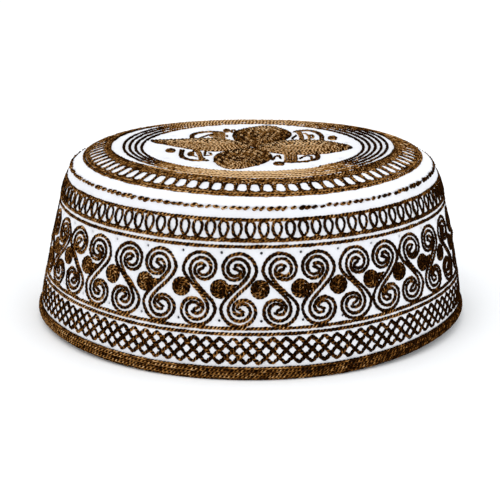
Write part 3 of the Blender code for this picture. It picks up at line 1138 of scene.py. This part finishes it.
def cotton(name, colours, sizes, factor=1.0):
    """White cotton: a plain weave of threads that pass over and under, with slubs, creases and faint shading.

    The weave is the product of a sine along each mark, and a slow drift keeps its threads from running
    straight.
    """

    def links(start):
        marks = start.node("ShaderNodeUVMap", {"uv_map": "UVMap"})
        split = marks.node("ShaderNodeSeparateXYZ", None, {0: marks})
        across, along = split.out("X"), split.out("Y")
        place = start.node("ShaderNodeTexCoord", output="Object")
        drift = start.noise(place, DRIFT) * 1.2
        crease = start.noise(place, CREASE)
        cloud = start.noise(place, CLOUD)
        slub = start.noise(marks, SLUB)
        # Half a wave to a thread, so that it goes over one thread and under the next
        wave = np.pi / sizes.weave_pitch
        weave = (across * wave + drift).sine() * (along * wave + drift).sine()
        # On average a little over halfway from the shade to the full white, and the clouds change it most.
        # The creases' low parts are painted a little darker, as shade
        tint = (cloud * 1.6 - 0.35 + crease * 0.25 - weave * 0.10).kept()
        fine = (weave * 0.5 + slub * 0.6).bump(sizes.weave_depth)
        return {
            "Base Color": tint.mix(colour(colours.cotton_shade, factor), colour(colours.cotton, factor)),
            "Roughness": (0.78 + weave * 0.05 + cloud * 0.10).kept(),
            "Normal": crease.bump(sizes.crease_depth, 0.55, fine),
        }

    settings = {"Sheen Weight": 0.12, "Sheen Roughness": 0.5, "Specular IOR Level": 0.25}
    return new_material(name, settings, links)


def chain_thread(name, colours, sizes):
    """Two-tone embroidery thread with painted gloss: plies that slant along each strand, and painted shadow
    where stitches meet.

    The mark u counts stitches along a row and v goes from one edge of the row over its middle to the other. A
    stitch's two strands part and meet again, so light follows them: the hollow between them, the row's edges
    and the notch where one stitch ends and the next begins stay dark.
    """

    def links(start):
        marks = start.node("ShaderNodeUVMap", {"uv_map": "UVMap"})
        split = marks.node("ShaderNodeSeparateXYZ", None, {0: marks})
        count, across = split.out("X"), split.out("Y")
        tone = start.node("ShaderNodeAttribute", {"attribute_name": "thread_tone"}, output="Fac")
        # 0 on the row's middle line and 1 at its edges, and 0 at a notch and 1 halfway to the next
        aside = (across - 0.5).size() * 2.0
        opened = (count * np.pi).sine().size()
        # The hollow lies a little past the middle, and closes before the notch at each end
        hollow = (opened * 3.2 - 1.30).kept() * (2.0 - (across - 0.62).size() * 5.2).kept()
        # Full light on the strands, and none in the hollow or at the very edge
        bead = (1.0 - hollow) * (2.7 - aside * 2.7).kept()
        fleck = start.noise(marks, FLECK)
        # Plies slant outwards along the row, and wander with the flecks
        ply = ((count + aside * 0.5) * (2.0 * np.pi * PLIES) + fleck * 2.0).sine()
        # The stitch's own tone and the flecks weigh about the same, and a ply is a trace
        light = (tone * 1.6 + fleck * 1.8 - 1.34 + ply * 0.10).kept(0.04)
        lit = (light * (0.01 + bead)).kept()
        # Painted highlights: the gold stop is partly the thread's own bronze and partly painted highlight,
        # the glint stop a painted glint
        stops = (
            (0.0, colour(colours.thread_dark)),
            (0.18, colour(colours.thread)),
            (0.62, colour(colours.thread_gold)),
            (1.0, colour(colours.thread_glint)),
        )
        return {
            "Base Color": start.node("ShaderNodeValToRGB", {"stops": stops}, {"Fac": lit}),
            "Roughness": (0.62 - light * 0.15 + ply * 0.04).kept(),
            "Normal": (ply * 0.25 + bead).bump(sizes.ply_depth),
        }

    return new_material(name, {"Specular IOR Level": 0.0}, links)


def rim_ground(name, dark, sizes):
    """The rim's body under its thread, near-black as painted shade between the rows, in a fine weave."""

    def links(start):
        grain = start.noise(start.node("ShaderNodeTexCoord", output="Object"), GRAIN)
        return {
            "Base Color": grain.mix(colour(dark), colour(dark, 2.2)),
            "Normal": grain.bump(sizes.weave_depth),
        }

    return new_material(name, {"Roughness": 0.85}, links)


def pale_floor(name, tint):
    """A matt pale surface with a trace of mottling."""

    def links(start):
        cloud = start.noise(start.node("ShaderNodeTexCoord", output="Object"), MOTTLE)
        return {"Base Color": cloud.mix(colour(tint, 0.985), colour(tint))}

    return new_material(name, {"Roughness": 0.9, "Specular IOR Level": 0.1}, links)


def shared(name, make, *values):
    """The material of that name, made the first time it is asked for."""
    return bpy.data.materials.get(name) or make(name, *values)


class PrayerCapSizes(bpy.types.PropertyGroup):
    """Sizes of the cloth and the stitches."""

    cloth_thickness: bpy.props.FloatProperty(
        name="Cloth", description="Thickness of the quilted cotton", default=0.0016, unit="LENGTH"
    )
    cloth_ripple: bpy.props.FloatProperty(
        name="Ripple", description="How far the cloth puffs up", default=0.00011, unit="LENGTH"
    )
    crease_depth: bpy.props.FloatProperty(
        name="Crease", description="Depth of the cloth's soft creases", default=0.00035, unit="LENGTH"
    )
    weave_pitch: bpy.props.FloatProperty(
        name="Weave", description="From one thread of the cotton to the next", default=0.00038, unit="LENGTH"
    )
    weave_depth: bpy.props.FloatProperty(
        name="Weave depth", description="How far the weave stands out", default=0.00007, unit="LENGTH"
    )
    stitch_length: bpy.props.FloatProperty(
        name="Stitch", description="Length of one chain stitch", default=0.00165, unit="LENGTH"
    )
    thread_width: bpy.props.FloatProperty(
        name="Row width", description="Width of a row of chain stitch", default=0.00170, unit="LENGTH"
    )
    thread_height: bpy.props.FloatProperty(
        name="Row height", description="How far a row stands out", default=0.00052, unit="LENGTH"
    )
    ply_depth: bpy.props.FloatProperty(
        name="Ply depth", description="Depth of the grooves between plies", default=0.00009, unit="LENGTH"
    )


class PrayerCapColours(bpy.types.PropertyGroup):
    """Colours of the cotton, the thread and the floor."""

    cotton: bpy.props.FloatVectorProperty(
        name="Cotton", description="The white cotton",
        default=(0.725, 0.73, 0.755), subtype="COLOR",
    )
    cotton_shade: bpy.props.FloatVectorProperty(
        name="Cotton shade", description="The cotton in its fainter patches",
        default=(0.665, 0.665, 0.695), subtype="COLOR",
    )
    thread_dark: bpy.props.FloatVectorProperty(
        name="Thread in shade", description="The thread where it is darkest",
        default=(0.002, 0.001, 0.0005), subtype="COLOR",
    )
    thread: bpy.props.FloatVectorProperty(
        name="Thread", description="The thread's own brown",
        default=(0.085, 0.027, 0.004), subtype="COLOR",
    )
    thread_gold: bpy.props.FloatVectorProperty(
        name="Gold thread", description="The thread where it turns to bronze",
        default=(0.38, 0.18, 0.045), subtype="COLOR",
    )
    thread_glint: bpy.props.FloatVectorProperty(
        name="Thread glints", description="The thread's brightest flecks",
        default=(0.74, 0.50, 0.27), subtype="COLOR",
    )
    floor: bpy.props.FloatVectorProperty(
        name="Floor", description="The pale floor",
        default=(0.95, 0.95, 0.95), subtype="COLOR",
    )


def settings(context):
    """The cap's sizes and its colours."""
    return context.scene.prayer_cap_sizes, context.scene.prayer_cap_colours


def thread_of(colours, sizes):
    """The one thread that the whole cap is worked in."""
    return shared("chain_thread", chain_thread, colours, sizes)


class PRAYERCAP_OT_side_cloth(bpy.types.Operator):
    """Makes the flared side of white cotton with its two rows of eyelets"""

    bl_idname = "prayercap.side_cloth"
    bl_label = "Side cloth"
    bl_options = {"REGISTER", "UNDO"}

    def execute(self, context):
        sizes, colours = settings(context)
        up_to_seam = slice(SEAM_STATION + 1)
        eyelets = np.interp(SIDE_EYELET_HEIGHTS, FACE_CORNERS[up_to_seam, 1], FACE_RUNS[up_to_seam])
        runs = rows_between([SIDE_FOOT, *eyelets, SEAM_RUN - SEAM_GAP / 2.0], SIDE_STEP)
        rows = [int(np.argmin(np.abs(runs - run))) for run in eyelets]
        columns = range(0, SIDE_COLUMNS, SIDE_COLUMNS // SIDE_EYELETS)
        holes = [(row, column) for row in rows for column in columns]
        look = shared("side_cotton_weave", cotton, colours, sizes)
        piece = cloth_shell("side_cloth", SIDE_COLUMNS, runs, holes, sizes, False, look)
        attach(piece, BODY)
        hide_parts("side_band")
        return {"FINISHED"}


class PRAYERCAP_OT_crown_cloth(bpy.types.Operator):
    """Makes the crown of white cotton with its few eyelets"""

    bl_idname = "prayercap.crown_cloth"
    bl_label = "Crown cloth"
    bl_options = {"REGISTER", "UNDO"}

    def execute(self, context):
        sizes, colours = settings(context)
        eyelet = FACE_RUNS[-1] - CROWN_EYELET_RADIUS
        runs = rows_between([SEAM_RUN + SEAM_GAP / 2.0, eyelet, FACE_RUNS[-1]], CROWN_STEP)
        row = int(np.argmin(np.abs(runs - eyelet)))
        turns = (np.array(CROWN_EYELET_ANGLES) - EYELET_ANGLE) * CROWN_COLUMNS / 360.0
        holes = [(row, int(round(turn)) % CROWN_COLUMNS) for turn in turns]
        # The crown's cotton is painted lighter than the side's, as light from above falls on it
        look = shared("crown_cotton_weave", cotton, colours, sizes, CROWN_PAINTED_LIGHT)
        piece = cloth_shell("crown_cloth", CROWN_COLUMNS, runs, holes, sizes, True, look)
        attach(piece, BODY)
        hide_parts("crown_panel")
        return {"FINISHED"}


class PRAYERCAP_OT_rim(bpy.types.Operator):
    """Makes the folded rim and the rows of chain stitch that cover it"""

    bl_idname = "prayercap.rim"
    bl_label = "Rim braid"
    bl_options = {"REGISTER", "UNDO"}

    def execute(self, context):
        sizes, colours = settings(context)
        # The rim's body is painted near-black, as shade between the rows of thread
        core = rim_core(shared("rim_ground", rim_ground, colours.thread_dark, sizes))
        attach(core, BODY)
        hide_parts("rim_braid")
        rows = Stitching("hem_rows", sizes)
        for number, share in enumerate(np.linspace(*HEM_SHARES, HEM_ROWS)):
            rows.row(on_rim, ring_line(share), FILL._replace(tone=HEM_TONES[number % 2]), closed=True)
        rows.piece(thread_of(colours, sizes))
        return {"FINISHED"}


class PRAYERCAP_OT_side_rings(bpy.types.Operator):
    """Sews the plain rings, the row of loops and the slanted stitches of the seam"""

    bl_idname = "prayercap.side_rings"
    bl_label = "Side rings and loops"
    bl_options = {"REGISTER", "UNDO"}

    def execute(self, context):
        sizes, colours = settings(context)
        thread = thread_of(colours, sizes)
        rings = Stitching("side_rings", sizes)
        for ring in SIDE_RINGS:
            rings.row(on_side, ring_line(ring.at), SIDE_RING_ROW, closed=True)
        rings.piece(thread)
        loops = Stitching("side_loops", sizes)
        line = loop_line(SIDE_LOOPS, degrees_per_mm(SIDE_LOOPS.middle))
        loops.row(on_side, line, SIDE_LOOP_ROW, closed=True)
        loops.piece(thread)
        seam = Stitching("seam_stitches", sizes)
        chance = np.random.default_rng(SEEDS["seam_places"])
        for number in range(SEAM_STITCHES):
            at = 360.0 * number / SEAM_STITCHES + chance.normal(*SEAM_PLACE)
            heavy = float(smoothstep(*SEAM_SIDES, abs(math.sin(math.radians(at)))))
            swell = math.sin(math.radians(SEAM_SWELLS * at + SEAM_SWELL_START))
            scale = chance.normal(*SEAM_SCALE) + SEAM_SWELL * swell
            slant = chance.normal(*SEAM_SLANT)
            top, foot = chance.normal(*SEAM_TOP), chance.normal(*SEAM_FOOT)
            line = np.linspace((at, top), (at + slant, foot), SHORT_POINTS)
            seam.row(on_side, line, Sewn(scale=scale, tone=SEAM_TONE - SEAM_TONE * heavy))
        seam.piece(thread)
        return {"FINISHED"}


class PRAYERCAP_OT_scrolls(bpy.types.Operator):
    """Sews the scrolls round the side and the balls between them"""

    bl_idname = "prayercap.scrolls"
    bl_label = "Scrolls and balls"
    bl_options = {"REGISTER", "UNDO"}

    def execute(self, context):
        sizes, colours = settings(context)
        thread = thread_of(colours, sizes)
        scrolls = Stitching("side_scrolls", sizes)
        for number in range(SIDE_EYELETS):
            for line in scroll_lines(number):
                scrolls.row(on_side, line, SCROLL_ROW)
        scrolls.piece(thread)
        balls = Stitching("side_balls", sizes)
        per_mm = degrees_per_mm(BALL_MIDDLE)
        for number in range(SIDE_EYELETS):
            degrees = EYELET_ANGLE + 360.0 * number / SIDE_EYELETS + nudge_of(number).ball
            balls.row(on_side, ball_line(degrees, per_mm), FILL)
            ends = (degrees - BALL_TOP_REACH * per_mm, degrees + BALL_TOP_REACH * per_mm)
            balls.row(on_side, [(end, BALL_MIDDLE, BALL_TOP_LIFT) for end in ends])
            if number % 2:
                for drop, reach in STEMS:
                    start, end = degrees + STEM_START * per_mm, degrees + reach * per_mm
                    balls.row(on_side, np.linspace((start, drop), (end, drop), SHORT_POINTS), FILL)
        balls.piece(thread)
        return {"FINISHED"}


class PRAYERCAP_OT_lattice(bpy.types.Operator):
    """Sews the lattice above the rim"""

    bl_idname = "prayercap.lattice"
    bl_label = "Lattice"
    bl_options = {"REGISTER", "UNDO"}

    def execute(self, context):
        sizes, colours = settings(context)
        lattice = Stitching("side_lattice", sizes)
        for first in (0.0, 1.0):
            lattice.row(on_side, lattice_line(first), LATTICE_ROW, closed=True)
        lattice.piece(thread_of(colours, sizes))
        return {"FINISHED"}


class PRAYERCAP_OT_crown_border(bpy.types.Operator):
    """Sews the crown's rings, its loops and the long line that winds inside them"""

    bl_idname = "prayercap.crown_border"
    bl_label = "Crown border"
    bl_options = {"REGISTER", "UNDO"}

    def execute(self, context):
        sizes, colours = settings(context)
        thread = thread_of(colours, sizes)
        border = Stitching("crown_loops", sizes, flat=True, level_light=BORDER_LEVEL_LIGHT)
        for ring in CROWN_RINGS:
            border.row(on_crown, onto_crown(drawn_in(ring_line(ring.at))), CROWN_RING_ROW, closed=True)
        loops = loop_line(CROWN_LOOPS, float(np.degrees(1.0 / CROWN_LOOPS.middle)))
        border.row(on_crown, onto_crown(drawn_in(loops)), CROWN_LOOP_ROW, closed=True)
        border.piece(thread)
        lines = Stitching("crown_lines", sizes, True, LINES_LEVEL_LIGHT, LINES_PATCHY)
        for line in (winding_line(), *map(arc_line, LINE_ARCS)):
            lines.row(on_crown, onto_crown(line), LINES_ROW)
        lines.piece(thread)
        return {"FINISHED"}


class PRAYERCAP_OT_medallion(bpy.types.Operator):
    """Sews the four petals and the curls between them in the middle of the crown"""

    bl_idname = "prayercap.medallion"
    bl_label = "Medallion"
    bl_options = {"REGISTER", "UNDO"}

    def execute(self, context):
        sizes, colours = settings(context)
        thread = thread_of(colours, sizes)
        petals = Stitching("crown_petals", sizes, flat=True)
        for petal in PETALS:
            petals.patchy = petal.patchy
            for line in petal_lines(petal):
                petals.row(on_crown, line, Sewn(tone=petal.tone, tall=PETAL_TALL))
        petals.piece(thread)
        curls = Stitching("crown_curls", sizes, flat=True)
        for curl in CURLS:
            for line in curl_lines(curl):
                curls.row(on_crown, line, FILL._replace(tone=curl.tone))
        for bud in BUDS:
            for line in bud_lines(bud):
                curls.row(on_crown, line, FILL._replace(tone=BUD_TONE))
        curls.piece(thread)
        return {"FINISHED"}


class PRAYERCAP_OT_stage(bpy.types.Operator):
    """Sets up the pale floor, the soft lights and the camera"""

    bl_idname = "prayercap.stage"
    bl_label = "Floor, lights and camera"
    bl_options = {"REGISTER", "UNDO"}

    def execute(self, context):
        scene = context.scene
        x, y = np.meshgrid(*[np.linspace(-FLOOR_HALF, FLOOR_HALF, FLOOR_POINTS)] * 2)
        points = np.stack((x, y, np.zeros_like(x)), axis=-1).reshape(-1, 3)
        number = np.arange(len(points)).reshape(x.shape)
        quads = np.stack((number[:-1, :-1], number[:-1, 1:], number[1:, 1:], number[1:, :-1]), axis=-1)
        quads = quads.reshape(-1, 4)
        look = shared("pale_floor", pale_floor, scene.prayer_cap_colours.floor)
        mesh_piece("floor", points, [quads], look, points[quads.ravel(), :2])

        scene.world = bpy.data.worlds.new("studio")
        scene.world.use_nodes = True
        background = scene.world.node_tree.nodes["Background"]
        background.inputs["Color"].default_value = WORLD_COLOUR
        background.inputs["Strength"].default_value = WORLD_STRENGTH
        for lamp in LAMPS:
            data = bpy.data.lights.new(lamp.name, "AREA")
            data.shape = "DISK"
            data.size = lamp.size
            data.energy = lamp.power
            data.color = lamp.colour
            light = bpy.data.objects.new(lamp.name, data)
            light.location = lamp.place
            aim = Vector(LAMP_AIM) - Vector(lamp.place)
            light.rotation_euler = aim.to_track_quat("-Z", "Y").to_euler()
            scene.collection.objects.link(light)

        camera = bpy.data.objects.new("camera", bpy.data.cameras.new("camera"))
        camera.data.lens = CAMERA.lens
        camera.data.sensor_width = SENSOR_WIDTH
        camera.data.shift_x = CAMERA.shift
        camera.data.clip_start, camera.data.clip_end = CLIP
        pitch = Matrix.Rotation(math.radians(90.0 - CAMERA.down), 4, "X")
        roll = Matrix.Rotation(math.radians(CAMERA.roll), 4, "Z")
        camera.matrix_world = Matrix.Translation((0.0, -CAMERA.back, CAMERA.up)) @ pitch @ roll
        scene.collection.objects.link(camera)
        scene.camera = camera
        scene.view_settings.view_transform = "Standard"
        return {"FINISHED"}


class PRAYERCAP_PT_panel(bpy.types.Panel):
    """The cap's settings and the buttons that make its pieces"""

    bl_idname = "PRAYERCAP_PT_panel"
    bl_label = "Prayer cap"
    bl_space_type = "VIEW_3D"
    bl_region_type = "UI"
    bl_category = "Prayer cap"

    def draw(self, context):
        for group in settings(context):
            for name in group.__annotations__:
                self.layout.prop(group, name)
        for operator in OPERATORS:
            self.layout.operator(operator.bl_idname)


OPERATORS = (
    PRAYERCAP_OT_stage,
    PRAYERCAP_OT_side_cloth,
    PRAYERCAP_OT_crown_cloth,
    PRAYERCAP_OT_rim,
    PRAYERCAP_OT_side_rings,
    PRAYERCAP_OT_scrolls,
    PRAYERCAP_OT_lattice,
    PRAYERCAP_OT_crown_border,
    PRAYERCAP_OT_medallion,
)
CLASSES = (PrayerCapSizes, PrayerCapColours, *OPERATORS, PRAYERCAP_PT_panel)


def register():
    """Registers the classes and hangs the settings on the scene."""
    for made in CLASSES:
        bpy.utils.register_class(made)
    bpy.types.Scene.prayer_cap_sizes = bpy.props.PointerProperty(type=PrayerCapSizes)
    bpy.types.Scene.prayer_cap_colours = bpy.props.PointerProperty(type=PrayerCapColours)


def unregister():
    """Takes the settings off the scene and unregisters the classes."""
    del bpy.types.Scene.prayer_cap_colours
    del bpy.types.Scene.prayer_cap_sizes
    for made in reversed(CLASSES):
        bpy.utils.unregister_class(made)


def main():
    """Makes every piece."""
    register()
    bpy.ops.prayercap.stage()
    bpy.ops.prayercap.side_cloth()
    bpy.ops.prayercap.crown_cloth()
    bpy.ops.prayercap.rim()
    bpy.ops.prayercap.side_rings()
    bpy.ops.prayercap.scrolls()
    bpy.ops.prayercap.lattice()
    bpy.ops.prayercap.crown_border()
    bpy.ops.prayercap.medallion()


if __name__ == "__main__":
    main()
